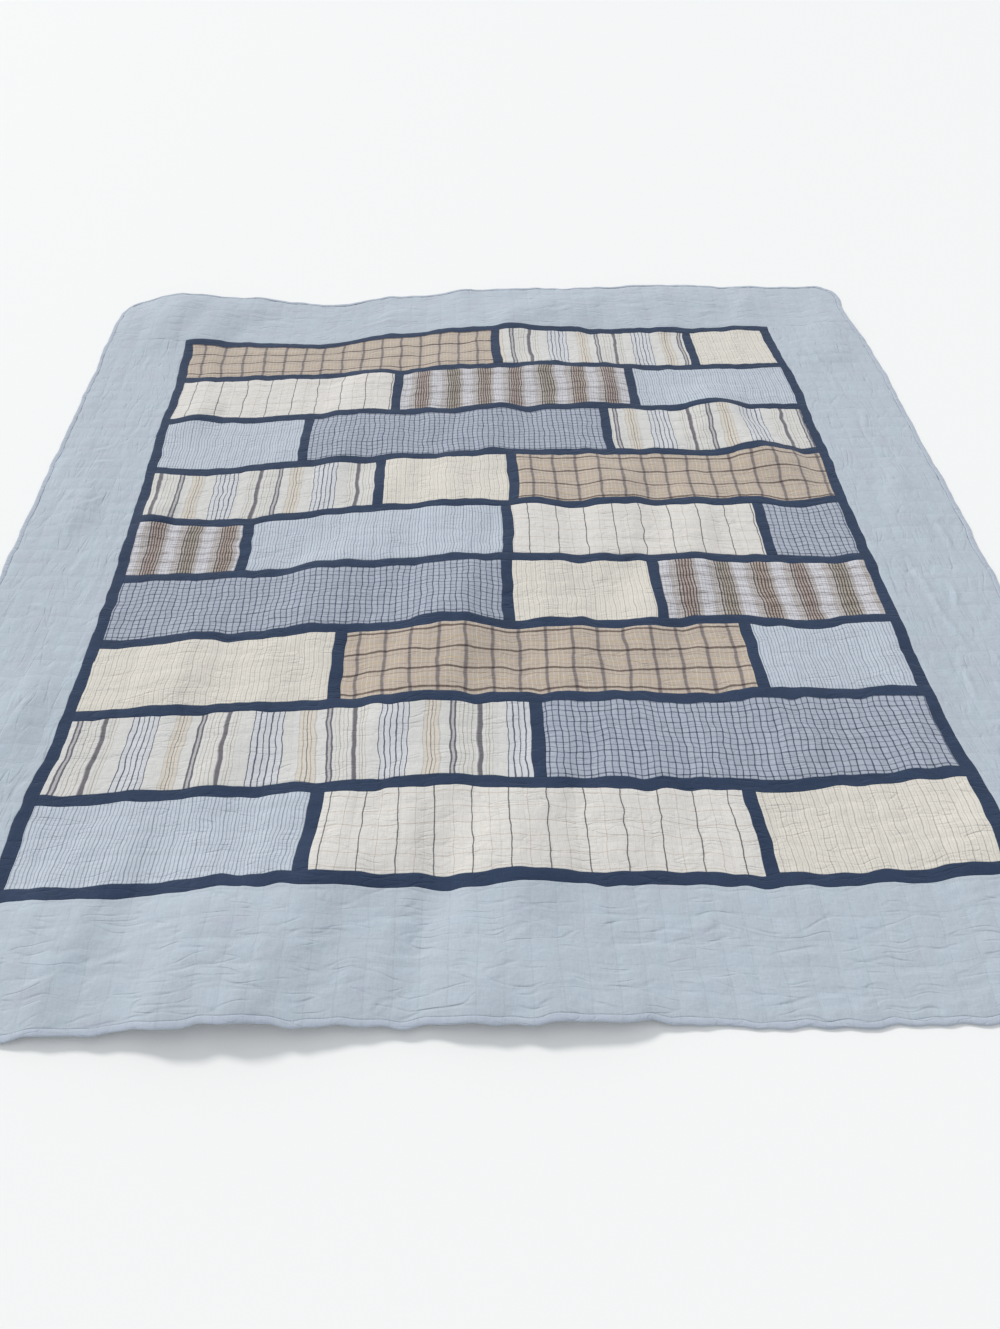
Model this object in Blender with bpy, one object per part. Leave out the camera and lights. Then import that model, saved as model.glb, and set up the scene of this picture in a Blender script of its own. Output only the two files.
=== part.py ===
"""A patchwork quilt, laid face up and spread by hand on a flat surface.

+X runs across the quilt, +Y from its foot to its head and +Z up. The origin is on the surface,
below the middle. The sewn pieces are the patchwork panel, four border strips and a narrow binding
in four lengths. Each is one layer of top, wadding and backing quilted together, so each is one sheet
of the same thickness. The quilt touches the surface where it lies flat and stands off it in soft
swells. The flat layout is in inches, the way quilts are cut, and turned into metres as it is laid.
"""

from collections import namedtuple
from math import cos, hypot, pi, radians, sin

import bmesh
import bpy

INCH = 0.0254
METRE_GAP = 0.0003                     # left open at every seam, in metres

QUILT_WIDTH = 88.0                     # inches, like every size down to SEAM_GAP
QUILT_LENGTH = 92.0
PANEL_WIDTH = 68.0
PANEL_LENGTH = 73.0
BINDING_WIDTH = 0.47
CORNER_RADIUS = 3.5
THICKNESS = 0.2
SEAM_GAP = METRE_GAP / INCH

PANEL_CELLS_ACROSS = 32
PANEL_CELLS_ALONG = 34
BORDER_CELLS = 3                       # from the panel to where the corner rounding starts
CORNER_CELLS = 2                       # from there to the binding

# How far the slack cloth sinks below the summed swells. Where they are lower, it lies flat.
SINK = 0.20
SOFT_LANDING = 0.15                    # height over which a swell eases onto the surface

# A swell is a long low rise: x and y of its middle, turn in degrees from +Y towards +X,
# half its length, half its width, and its height.
Swell = namedtuple("Swell", "x y turn half_length half_width height")
SWELLS = [
    Swell(-1, 2, 0, 58, 26, 0.90),      # the broad middle
    Swell(0, 29, 0, 14, 9, 0.60),
    Swell(11, 24, 0, 13, 9, 0.60),
    Swell(-13, 17, -8, 14, 6, 0.55),
    Swell(-15, -8, 17, 14, 6, 0.65),
    Swell(-20, -24, 14, 11, 5, 0.50),
    Swell(-17, -43, 0, 16, 18, 1.45),   # the near left rise
    Swell(-3, -11, 4, 14, 6, 0.80),
    Swell(-8, -24, 16, 13, 6, 0.60),
    Swell(4.5, 0, 6, 13, 5, 0.35),
    Swell(1, -36, 4, 15, 7, 0.80),
    Swell(12, 6, -3, 16, 5, 0.35),
    Swell(19, 0, 6, 13, 4.5, 0.35),
    Swell(23, -20, -10, 10, 5, 0.45),
    Swell(26, 14, -22, 13, 6, 0.70),
    Swell(33, -14, 0, 20, 6, 0.60),     # the right edge of the panel
    Swell(-12, -33, 0, 9, 10, 0.60),
    Swell(33, -36, 0, 11, 9, 0.90),     # the near right corner of the panel
    Swell(-30, 24, 6, 13, 5, 0.50),
    Swell(-25.5, -14, 0, 13, 5, 0.65),
    Swell(-30, -38, 0, 12, 7, 0.55),
    Swell(-36, 42, 0, 11, 11, 1.40),    # the far left corner
    Swell(16, 43, 90, 36, 10, 0.90),     # the head border
    Swell(41, 34, 30, 10, 6, 0.70),
    Swell(-40, 8, -10, 14, 5, 0.55),
    Swell(-38, -20, 12, 12, 5, 0.50),
    Swell(40, 4, 8, 13, 5, 0.50),
    Swell(3, -45, 90, 15, 8, 0.90),     # the foot border
]

# A drift is where the hand that spread the cloth pulled it aside: x and y of its middle,
# how far it reaches across and along, and how far it moved the cloth in x and in y.
Drift = namedtuple("Drift", "x y reach_x reach_y move_x move_y")
DRIFTS = [
    Drift(-19, 46, 11, 15, 0.0, -1.3),  # the dip in the head edge
    Drift(14, 46, 34, 12, 0.0, 0.4),
    Drift(24, -42, 20, 18, 0.0, -0.7),  # the sag of the foot edge
    Drift(-18, -46, 20, 10, 0.0, 0.3),
    Drift(19, -27, 14, 11, 0.0, -0.7),
    Drift(-34, 0, 20, 46, 0.0, -0.6),
    Drift(-24, 6, 11, 18, 0.0, -0.8),
    Drift(34, -4, 18, 44, 0.0, -0.3),
    Drift(-34, 36, 14, 14, -0.7, 0.0),
    Drift(-34, -8, 14, 22, 0.4, 0.0),
    Drift(-34, -36, 14, 14, -0.5, 0.0),
    Drift(34, 36, 14, 14, -0.8, 0.0),
    Drift(34, -34, 14, 20, 0.8, 0.0),
]

COLOURS = {                            # red, green and blue, as Blender takes them
    "patchwork": (0.48, 0.50, 0.50),
    "border_cloth": (0.46, 0.54, 0.62),
    "binding_cloth": (0.42, 0.50, 0.58),
}
CLOTH_ROUGHNESS = 0.9


def falloff(t):
    """1 at the middle, 0 from t = 1 outwards, level at both ends."""
    return (1 + cos(pi * min(abs(t), 1))) / 2


def round_corner(u, v):
    """Bends the square corner blocks of the layout into quarter rounds."""
    start_u = QUILT_WIDTH / 2 - CORNER_RADIUS
    start_v = QUILT_LENGTH / 2 - CORNER_RADIUS
    a = abs(u) - start_u
    b = abs(v) - start_v
    if a <= 0 or b <= 0:
        return u, v
    reach = max(a, b)
    angle = pi / 4 * (b / a if b <= a else 2 - a / b)
    side_u = 1 if u > 0 else -1
    side_v = 1 if v > 0 else -1
    return side_u * (start_u + reach * cos(angle)), side_v * (start_v + reach * sin(angle))


def swell_height(x, y):
    """The summed swells at a place in the layout, in inches."""
    total = -SINK
    for s in SWELLS:
        turn = radians(s.turn)
        along = (y - s.y) * cos(turn) + (x - s.x) * sin(turn)
        across = (x - s.x) * cos(turn) - (y - s.y) * sin(turn)
        total += s.height * falloff(along / s.half_length) * falloff(across / s.half_width)
    return total


def underside(x, y):
    """Height of the cloth's underside: the swells, eased onto the surface and flat below it."""
    h = swell_height(x, y)
    if h <= -SOFT_LANDING:
        return 0.0
    if h >= SOFT_LANDING:
        return h
    return (h + SOFT_LANDING) ** 2 / (4 * SOFT_LANDING)


def lay(u, v):
    """The place of a point of the flat layout once the quilt is laid, in inches."""
    x, y = round_corner(u, v)
    height = underside(x, y)
    moved_x, moved_y = x, y
    for d in DRIFTS:
        pull = falloff(min(hypot((x - d.x) / d.reach_x, (y - d.y) / d.reach_y), 1))
        moved_x += d.move_x * pull
        moved_y += d.move_y * pull
    return moved_x, moved_y, height


def stations(start, stop, cells):
    """Evenly spaced values from start to stop, both included."""
    return [start + (stop - start) * i / cells for i in range(cells + 1)]


def outward(half_panel, half_quilt):
    """Stations across a border, from the panel's seam to the binding's seam."""
    rounding = half_quilt - CORNER_RADIUS
    plain = stations(half_panel + SEAM_GAP / 2, rounding, BORDER_CELLS)
    corner = stations(rounding, half_quilt - BINDING_WIDTH - SEAM_GAP / 2, CORNER_CELLS)
    return plain + corner[1:]


HALF_PANEL_X = PANEL_WIDTH / 2
HALF_PANEL_Y = PANEL_LENGTH / 2
PANEL_X = stations(-HALF_PANEL_X + SEAM_GAP / 2, HALF_PANEL_X - SEAM_GAP / 2, PANEL_CELLS_ACROSS)
PANEL_Y = stations(-HALF_PANEL_Y + SEAM_GAP / 2, HALF_PANEL_Y - SEAM_GAP / 2, PANEL_CELLS_ALONG)
RIGHT_X = outward(HALF_PANEL_X, QUILT_WIDTH / 2)
HEAD_Y = outward(HALF_PANEL_Y, QUILT_LENGTH / 2)
LEFT_X = [-x for x in reversed(RIGHT_X)]
FOOT_Y = [-y for y in reversed(HEAD_Y)]
ACROSS = LEFT_X[:-1] + PANEL_X + RIGHT_X[1:]
ALONG = FOOT_Y[:-1] + PANEL_Y + HEAD_Y[1:]


def bounds_centre():
    """Middle of the laid quilt's outline in x and y, in inches."""
    half_x, half_y = QUILT_WIDTH / 2, QUILT_LENGTH / 2
    rim = [lay(x, side * half_y) for x in [-half_x] + ACROSS + [half_x] for side in (-1, 1)]
    rim += [lay(side * half_x, y) for y in [-half_y] + ALONG + [half_y] for side in (-1, 1)]
    xs = [p[0] for p in rim]
    ys = [p[1] for p in rim]
    return (min(xs) + max(xs)) / 2, (min(ys) + max(ys)) / 2


def cloth_material(name):
    material = bpy.data.materials.new(name)
    material.use_nodes = True
    shader = material.node_tree.nodes["Principled BSDF"]
    shader.inputs["Base Color"].default_value = (*COLOURS[name], 1)
    shader.inputs["Roughness"].default_value = CLOTH_ROUGHNESS
    shader.inputs["Metallic"].default_value = 0
    return material


def laid_sheet(name, columns, rows, place, material):
    """One sewn piece: a grid of columns by rows cells, laid by place(i, j) and given its thickness.

    The thickness is raised straight up, so that the walls of neighbours stay parallel at a seam.
    """
    bm = bmesh.new()
    bmesh.ops.create_grid(bm, x_segments=columns, y_segments=rows, size=0.5)
    for vert in bm.verts:
        i = round((vert.co.x + 0.5) * columns)
        j = round((vert.co.y + 0.5) * rows)
        x, y, z = place(i, j)
        vert.co = ((x - CENTRE[0]) * INCH, (y - CENTRE[1]) * INCH, z * INCH)
    top = bmesh.ops.extrude_face_region(bm, geom=bm.faces[:], use_keep_orig=True)
    raised = [g for g in top["geom"] if isinstance(g, bmesh.types.BMVert)]
    bmesh.ops.translate(bm, verts=raised, vec=(0, 0, THICKNESS * INCH))
    bmesh.ops.triangulate(bm, faces=bm.faces[:])
    bmesh.ops.recalc_face_normals(bm, faces=bm.faces[:])
    mesh = bpy.data.meshes.new(name)
    bm.to_mesh(mesh)
    bm.free()
    mesh.materials.append(material)
    piece = bpy.data.objects.new(name, mesh)
    bpy.data.collections["patchwork_quilt"].objects.link(piece)
    return piece


def flat_piece(name, xs, ys, material):
    """A panel or border strip whose stations in the layout are xs across and ys along."""
    return laid_sheet(name, len(xs) - 1, len(ys) - 1, lambda i, j: lay(xs[i], ys[j]), material)


def binding_length(name, walk, material):
    """One length of binding. walk lists its inner stations with the way out to the quilt's edge."""
    def place(i, j):
        x, y, out_x, out_y = walk[i]
        width = BINDING_WIDTH - SEAM_GAP / 2 if j else SEAM_GAP / 2
        return lay(x + out_x * width, y + out_y * width)
    return laid_sheet(name, len(walk) - 1, 1, place, material)


def binding_walk(side, stops, along_x):
    """Inner stations of one binding length, from one corner's mitre to the other's."""
    reach = (QUILT_LENGTH if along_x else QUILT_WIDTH) / 2 - BINDING_WIDTH
    last = len(stops) - 1
    walk = []
    for k, stop in enumerate(stops):
        mitre = -1 if k == 0 else 1 if k == last else 0
        if along_x:
            walk.append((stop, side * reach, mitre, side))
        else:
            walk.append((side * reach, stop, side, mitre))
    return walk


def seam_stops(inner):
    """The stations along one edge, with their ends moved in by half a seam gap."""
    return [inner[0] + SEAM_GAP] + inner[1:-1] + [inner[-1] - SEAM_GAP]


for old in list(bpy.data.objects):
    bpy.data.objects.remove(old)
collection = bpy.data.collections.new("patchwork_quilt")
bpy.context.scene.collection.children.link(collection)

CENTRE = bounds_centre()
patchwork = cloth_material("patchwork")
border_cloth = cloth_material("border_cloth")
binding_cloth = cloth_material("binding_cloth")

flat_piece("centre_panel", PANEL_X, PANEL_Y, patchwork)
flat_piece("border_left", LEFT_X, PANEL_Y, border_cloth)
flat_piece("border_right", RIGHT_X, PANEL_Y, border_cloth)
flat_piece("border_head", ACROSS, HEAD_Y, border_cloth)
flat_piece("border_foot", ACROSS, FOOT_Y, border_cloth)

for name, side, stops, along_x in (
    ("binding_head", 1, ACROSS, True),
    ("binding_foot", -1, ACROSS, True),
    ("binding_left", -1, ALONG, False),
    ("binding_right", 1, ALONG, False),
):
    binding_length(name, binding_walk(side, seam_stops(stops), along_x), binding_cloth)
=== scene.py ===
"""A patchwork quilt of woven cottons, spread face up by hand on a plain pale floor.

The layout of the quilt is in inches from its middle, +x across and +y from the foot to the head, as
quilts are cut. One function, laid, takes a place in that layout to its place on the floor in metres.
"""

from collections import namedtuple
from math import pi, radians

import bmesh
import bpy
import numpy as np
from mathutils import Matrix, Vector


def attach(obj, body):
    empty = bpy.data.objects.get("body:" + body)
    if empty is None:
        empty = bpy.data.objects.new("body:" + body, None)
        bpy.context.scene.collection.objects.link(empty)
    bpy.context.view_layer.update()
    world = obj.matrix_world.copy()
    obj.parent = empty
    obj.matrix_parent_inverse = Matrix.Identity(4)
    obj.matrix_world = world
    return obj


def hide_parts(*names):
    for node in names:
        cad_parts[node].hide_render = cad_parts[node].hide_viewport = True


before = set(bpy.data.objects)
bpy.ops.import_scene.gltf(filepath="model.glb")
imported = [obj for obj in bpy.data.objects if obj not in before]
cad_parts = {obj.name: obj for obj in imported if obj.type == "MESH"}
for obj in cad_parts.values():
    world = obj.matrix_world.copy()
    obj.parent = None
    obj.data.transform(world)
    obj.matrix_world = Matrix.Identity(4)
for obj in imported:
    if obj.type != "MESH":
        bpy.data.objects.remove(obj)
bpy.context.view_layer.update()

# ---------------------------------------------------------------------------------------------
# The camera: a phone held by someone who stands at the quilt's foot and looks down along it.
# ---------------------------------------------------------------------------------------------
CAMERA_PLACE = Vector((-0.009, -1.765, 1.492))
CAMERA_DOWN, CAMERA_YAW, CAMERA_ROLL = 47.65, -0.81, -0.93      # degrees
CAMERA_LENS = 26.5                                              # mm, on a 36 mm long side

lens = bpy.data.cameras.new("camera")
lens.lens = CAMERA_LENS
lens.sensor_width = 36
camera = bpy.data.objects.new("camera", lens)
camera.matrix_world = (
    Matrix.Translation(CAMERA_PLACE)
    @ Matrix.Rotation(radians(CAMERA_YAW), 4, "Z")
    @ Matrix.Rotation(radians(90 - CAMERA_DOWN), 4, "X")
    @ Matrix.Rotation(radians(CAMERA_ROLL), 4, "Z")
)
bpy.context.scene.collection.objects.link(camera)
bpy.context.scene.camera = camera

# ---------------------------------------------------------------------------------------------
# Backing: one plain pale blue cotton sheet under the whole quilt, up to the binding. The quilting
# is sewn through it, so every stitched line draws it up a little off the floor.
# ---------------------------------------------------------------------------------------------
INCH, INCH_MM = 0.0254, 25.4           # in metres and in millimetres
QUILT_WIDTH, QUILT_LENGTH = 88.0, 92.0
HALF_WIDTH, HALF_LENGTH = QUILT_WIDTH / 2, QUILT_LENGTH / 2
BINDING_WIDTH = 0.47
CORNER_RADIUS = 3.5
QUILTING = 1.75                        # pitch of the square grid of quilting lines
CLOTH = 0.03                           # thickness of one cotton
PUFF_POWER = 0.45                      # the smaller, the fuller the square between the lines
DRAWN_UP = 0.03                        # how far a quilting line draws the backing up
SINK = 0.20                            # swells stand on a level this far below the floor,
SOFT_LANDING = 0.15                    # and meet the floor in a curve of this height

# A swell is a long low rise: x and y of its middle, turn in degrees from +y towards +x,
# half its length, half its width, and its height.
Swell = namedtuple("Swell", "x y turn half_length half_width height")
SWELLS = [
    Swell(-1, 2, 0, 58, 26, 0.90),      # the broad middle
    Swell(0, 29, 0, 14, 9, 0.60),
    Swell(11, 24, 0, 13, 9, 0.60),
    Swell(-13, 17, -8, 14, 6, 0.55),
    Swell(-15, -8, 17, 14, 6, 0.65),
    Swell(-20, -24, 14, 11, 5, 0.50),
    Swell(-17, -43, 0, 16, 18, 1.45),   # the near left rise
    Swell(-3, -11, 4, 14, 6, 0.80),
    Swell(-8, -24, 16, 13, 6, 0.60),
    Swell(4.5, 0, 6, 13, 5, 0.35),
    Swell(1, -36, 4, 15, 7, 0.80),
    Swell(12, 6, -3, 16, 5, 0.35),
    Swell(19, 0, 6, 13, 4.5, 0.35),
    Swell(23, -20, -10, 10, 5, 0.45),
    Swell(26, 14, -22, 13, 6, 0.70),
    Swell(33, -14, 0, 20, 6, 0.60),     # the right edge of the panel
    Swell(-12, -33, 0, 9, 10, 0.60),
    Swell(33, -36, 0, 11, 9, 0.90),     # the near right corner of the panel
    Swell(-30, 24, 6, 13, 5, 0.50),
    Swell(-25.5, -14, 0, 13, 5, 0.65),
    Swell(-30, -38, 0, 12, 7, 0.55),
    Swell(-36, 42, 0, 11, 11, 1.40),    # the far left corner
    Swell(16, 43, 90, 36, 10, 0.90),    # the head border
    Swell(41, 34, 30, 10, 6, 0.70),
    Swell(-40, 8, -10, 14, 5, 0.55),
    Swell(-38, -20, 12, 12, 5, 0.50),
    Swell(40, 4, 8, 13, 5, 0.50),
    Swell(3, -45, 90, 15, 8, 0.90),     # the foot border
    # Smaller waves, which the solids leave out. They bend the rows of sashing.
    Swell(-31, 35, 0, 8, 4, 0.25),
    Swell(-22, 36, 0, 8, 6, -0.65),
    Swell(4, 37, 0, 7, 10, 0.40),
    Swell(-27, 44, 0, 7, 5, 0.60),      # the bump beside the dip in the head edge
    Swell(-4, 28, 0, 7, 4, 0.45),
    Swell(8, 28, 0, 7, 4, 0.30),
    Swell(15, 28, 0, 7, 4, 0.20),
    Swell(-27, 28, 0, 6, 5, -0.35),
    Swell(24, 21, 0, 8, 6, 0.70),
    Swell(-24, 20, 0, 7, 5, -0.60),
    Swell(-31, 19, 0, 7, 4, 0.40),
    Swell(19, 12, 0, 7, 5, 0.40),
    Swell(28, 12, 0, 7, 5, 0.60),
    Swell(-30, 12, 0, 6, 5, -0.40),
    Swell(-12, 12, 0, 7, 4, -0.45),
    Swell(-32, 4, 0, 7, 4, 0.45),
    Swell(-24, 3, 0, 7, 4, -0.40),
    Swell(12, -12, 10, 8, 4, 0.35),
    Swell(25, -11, 10, 7, 4, -0.35),
    Swell(31, -37, 0, 8, 5, -0.60),
    Swell(-4, -29, 5, 7, 4, 0.35),
    Swell(17, -29, -5, 8, 5, 0.35),
]

# A drift is where the hand that spread the cloth pulled it aside: x and y of its middle,
# how far it reaches across and along, and how far it moved the cloth in x and in y.
Drift = namedtuple("Drift", "x y reach_x reach_y move_x move_y")
DRIFTS = [
    Drift(-19, 46, 11, 15, 0.0, -1.3),  # the dip in the head edge
    Drift(14, 46, 34, 12, 0.0, 0.4),
    Drift(24, -42, 20, 18, 0.0, -0.7),  # the sag of the foot edge
    Drift(-18, -46, 20, 10, 0.0, 0.3),
    Drift(19, -27, 14, 11, 0.0, -0.7),
    Drift(-34, 0, 20, 46, 0.0, -0.6),
    Drift(-24, 6, 11, 18, 0.0, -0.8),
    Drift(34, -4, 18, 44, 0.0, -0.3),
    Drift(-34, 36, 14, 14, -0.7, 0.0),
    Drift(-34, -8, 14, 22, 0.4, 0.0),
    Drift(-34, -36, 14, 14, -0.5, 0.0),
    Drift(34, 36, 14, 14, -0.8, 0.0),
    Drift(34, -34, 14, 20, 0.8, 0.0),
    # Smaller ones, which the solids leave out.
    Drift(-18, 46, 7, 8, 0.0, -0.5),    # the steep side of the dip
    Drift(44, 40, 8, 9, -0.8, 0.0),
    Drift(-26, 36, 15, 6, 0.0, -1.0),
    Drift(-35, 36, 9, 6, 0.0, -0.4),
    Drift(-18, 36, 8, 6, 0.0, -0.8),
    Drift(3, 36, 12, 5, 0.0, 0.35),
    Drift(-4, 36, 4, 5, 0.0, 0.3),
    Drift(-30, 12, 7, 6, 0.0, -0.5),
    Drift(-33, 20, 6, 14, -0.35, 0.0),
    Drift(-13, -27, 6, 7, 0.5, 0.0),
    Drift(18, -28, 6, 6, -0.3, 0.0),
    Drift(35, -30, 6, 9, 0.45, 0.0),
    Drift(-35, -30, 6, 8, -0.3, 0.0),
    Drift(29.5, 4, 3, 4, 0.0, -0.35),   # from here on, short dips and rises along the rows
    Drift(25, 4.5, 3.5, 4, 0.0, 0.45),
    Drift(32.5, 4, 2.5, 4, 0.0, 0.3),
    Drift(30, -4, 4, 4, 0.0, -0.45),
    Drift(26, -12, 4.5, 4, 0.0, -0.4),
    Drift(19, -12, 5, 4, 0.0, 0.35),
    Drift(9, -28, 8, 4, 0.0, -0.35),
    Drift(-16, -36, 8, 5, 0.0, 0.4),
    Drift(33, -36, 6, 5, 0.0, 0.4),
    Drift(-31, -28, 5, 4, 0.0, -0.35),
    Drift(-31, -12, 5, 4, 0.0, -0.3),
]

# A ripple is the fine unevenness of cloth laid by hand: how far it moves the cloth, its usual
# length in x and in y, and its seed.
Ripple = namedtuple("Ripple", "reach length_x length_y seed")
RIPPLES_UP = [Ripple(0.24, 4.2, 8.0, 11), Ripple(0.17, 2.3, 4.0, 12)]
RIPPLES_ACROSS = [Ripple(0.11, 4, 3, 15), Ripple(0.09, 1.4, 1.2, 13)]
RIPPLES_ALONG = [Ripple(0.15, 3, 4, 16), Ripple(0.16, 1.3, 2, 14)]
LATTICE = 128                          # points each way before slow_noise repeats
LATTICE_COS, LATTICE_SIN = 0.96, 0.28  # its lattice is turned, so that it doesn't follow the rows


def falloff(t):
    """1 at the middle, 0 from t = 1 outwards, level at both ends."""
    return (1 + np.cos(pi * np.minimum(np.abs(t), 1))) / 2


def slow_noise(x, y, seed):
    """Smooth seeded values from -1 to 1, with one random lattice point to each unit of x and y."""
    lattice = np.random.default_rng(seed).uniform(-1, 1, (LATTICE, LATTICE))
    x, y = LATTICE_COS * x + LATTICE_SIN * y, LATTICE_COS * y - LATTICE_SIN * x
    i, j = np.floor(x).astype(int), np.floor(y).astype(int)
    s, t = x - i, y - j
    s, t = s * s * (3 - 2 * s), t * t * (3 - 2 * t)
    i, j, next_i, next_j = i % LATTICE, j % LATTICE, (i + 1) % LATTICE, (j + 1) % LATTICE
    near = lattice[i, j] * (1 - s) + lattice[next_i, j] * s
    far = lattice[i, next_j] * (1 - s) + lattice[next_i, next_j] * s
    return near * (1 - t) + far * t


def rippled(start, ripples, x, y):
    """start, moved by each of the ripples at the places x and y."""
    for ripple in ripples:
        noise = slow_noise(x / ripple.length_x, y / ripple.length_y, ripple.seed)
        start = start + ripple.reach * noise
    return start


def round_corner(u, v):
    """Bends the square corner blocks of the layout into quarter rounds."""
    start_u = HALF_WIDTH - CORNER_RADIUS
    start_v = HALF_LENGTH - CORNER_RADIUS
    a, b = np.abs(u) - start_u, np.abs(v) - start_v
    corner = (a > 0) & (b > 0)
    a, b = np.where(corner, a, 1), np.where(corner, b, 1)
    reach = np.maximum(a, b)
    angle = pi / 4 * np.where(b <= a, b / a, 2 - a / b)
    x = np.where(corner, np.sign(u) * (start_u + reach * np.cos(angle)), u)
    y = np.where(corner, np.sign(v) * (start_v + reach * np.sin(angle)), v)
    return x, y


def rise_of(swell, x, y):
    """How much one swell lifts the places x and y."""
    turn = radians(swell.turn)
    along = (y - swell.y) * np.cos(turn) + (x - swell.x) * np.sin(turn)
    across = (x - swell.x) * np.cos(turn) - (y - swell.y) * np.sin(turn)
    return (swell.height * falloff(along / swell.half_length)
            * falloff(across / swell.half_width))


def underside(x, y):
    """Height of the cloth's underside: the swells, eased onto the floor and flat below it."""
    h = np.full(np.shape(x), -SINK)
    for swell in SWELLS:
        h = h + rise_of(swell, x, y)
    h = rippled(h, RIPPLES_UP, x, y)
    eased = (h + SOFT_LANDING) ** 2 / (4 * SOFT_LANDING)
    return np.where(h <= -SOFT_LANDING, 0, np.where(h >= SOFT_LANDING, h, eased))


def laid(x, y, lift):
    """Metres on the floor of layout places x and y, lift inches over the cloth's underside."""
    moved_x, moved_y = x, y
    for d in DRIFTS:
        pull = falloff(np.hypot((x - d.x) / d.reach_x, (y - d.y) / d.reach_y))
        moved_x, moved_y = moved_x + d.move_x * pull, moved_y + d.move_y * pull
    moved_x = rippled(moved_x, RIPPLES_ACROSS, x, y)
    moved_y = rippled(moved_y, RIPPLES_ALONG, x, y)
    height = underside(x, y) + lift
    return np.stack([moved_x - CENTRE[0], moved_y - CENTRE[1], height], 1) * INCH


# The quilt's middle sits over the origin, as the frame's does. The rim, read every half inch,
# gives the middle: its head and foot, then its two sides.
steps_x = np.linspace(-HALF_WIDTH, HALF_WIDTH, round(QUILT_WIDTH * 2) + 1)
steps_y = np.linspace(-HALF_LENGTH, HALF_LENGTH, round(QUILT_LENGTH * 2) + 1)
rim_x, rim_y = round_corner(
    np.concatenate([steps_x, steps_x,
                    np.full_like(steps_y, -HALF_WIDTH), np.full_like(steps_y, HALF_WIDTH)]),
    np.concatenate([np.full_like(steps_x, -HALF_LENGTH), np.full_like(steps_x, HALF_LENGTH),
                    steps_y, steps_y]),
)
CENTRE = (0.0, 0.0)
rim = laid(rim_x, rim_y, 0) / INCH
CENTRE = ((rim[:, 0].min() + rim[:, 0].max()) / 2, (rim[:, 1].min() + rim[:, 1].max()) / 2)


def stations(start, stop, pitch, edge):
    """Places from start to stop at whole multiples of pitch, and one a short edge inside each end."""
    inner = np.arange(np.ceil(start / pitch), np.floor(stop / pitch) + 1) * pitch
    inner = inner[(inner > start + edge * 1.5) & (inner < stop - edge * 1.5)]
    return np.concatenate([[start, start + edge], inner, [stop - edge, stop]])


def cloth_grid(xs, ys):
    """A grid of cells with its corners at the stations xs and ys, and their layout places."""
    bm = bmesh.new()
    bmesh.ops.create_grid(bm, x_segments=len(xs) - 1, y_segments=len(ys) - 1, size=0.5)
    mesh = bpy.data.meshes.new("cloth")
    bm.to_mesh(mesh)
    bm.free()
    co = np.empty(len(mesh.vertices) * 3, np.float32)
    mesh.vertices.foreach_get("co", co)
    co = co.reshape(-1, 3)
    i = np.rint((co[:, 0] + 0.5) * (len(xs) - 1)).astype(int)
    j = np.rint((co[:, 1] + 0.5) * (len(ys) - 1)).astype(int)
    return mesh, xs[i], ys[j]


def cloth_maps(mesh, x, y, cut_x=0.0, cut_y=0.0, turned=False, lengthwise=True):
    """Gives a cloth its maps in metres: where it is in the layout, and where in its own weave.
    A strip that runs up the quilt was cut along the cloth, as those across it were."""
    corner = np.empty(len(mesh.loops), np.int32)
    mesh.loops.foreach_get("vertex_index", corner)
    side = -1 if turned else 1
    weave = (side * (x - cut_x), side * (y - cut_y)) if lengthwise else (y, -x)
    for name, (u, v) in (("layout", (x, y)), ("weave", weave)):
        uv = np.stack([u, v], 1)[corner] * INCH
        mesh.uv_layers.new(name=name).data.foreach_set("uv", uv.astype(np.float32).ravel())


def cloth_piece(name, meshes, material):
    """Joins laid grids into one piece of cloth with its thickness below its face."""
    bm = bmesh.new()
    for mesh in meshes:
        bm.from_mesh(mesh)
    joined = bpy.data.meshes.new(name)
    bm.to_mesh(joined)
    bm.free()
    joined.shade_smooth()
    joined.materials.append(material)
    piece = bpy.data.objects.new(name, joined)
    bpy.context.scene.collection.objects.link(piece)
    solid = piece.modifiers.new("thickness", "SOLIDIFY")
    solid.thickness = CLOTH * INCH
    solid.offset = -1
    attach(piece, "root")
    return piece


def set_places(mesh, places):
    mesh.vertices.foreach_set("co", places.astype(np.float32).ravel())
    mesh.update()


def puff(x, y):
    """0 on the quilting lines, 1 in the middle of each quilted square."""
    return np.abs(np.sin(pi * x / QUILTING) * np.sin(pi * y / QUILTING)) ** PUFF_POWER


def linear(code):
    """Linear red, green, blue and alpha of an sRGB hex colour."""
    channels = [int(code[i:i + 2], 16) / 255 for i in (1, 3, 5)]
    return (*[c / 12.92 if c <= 0.04045 else ((c + 0.055) / 1.055) ** 2.4 for c in channels], 1)


def add(tree, kind, inputs=None, **settings):
    """Adds a node, gives it its settings, and fills its inputs with values or links."""
    node = tree.nodes.new(kind)
    for key, value in settings.items():
        setattr(node, key, value)
    for key, value in (inputs or {}).items():
        if isinstance(value, bpy.types.NodeSocket):
            tree.links.new(value, node.inputs[key])
        else:
            node.inputs[key].default_value = value
    return node


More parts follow.
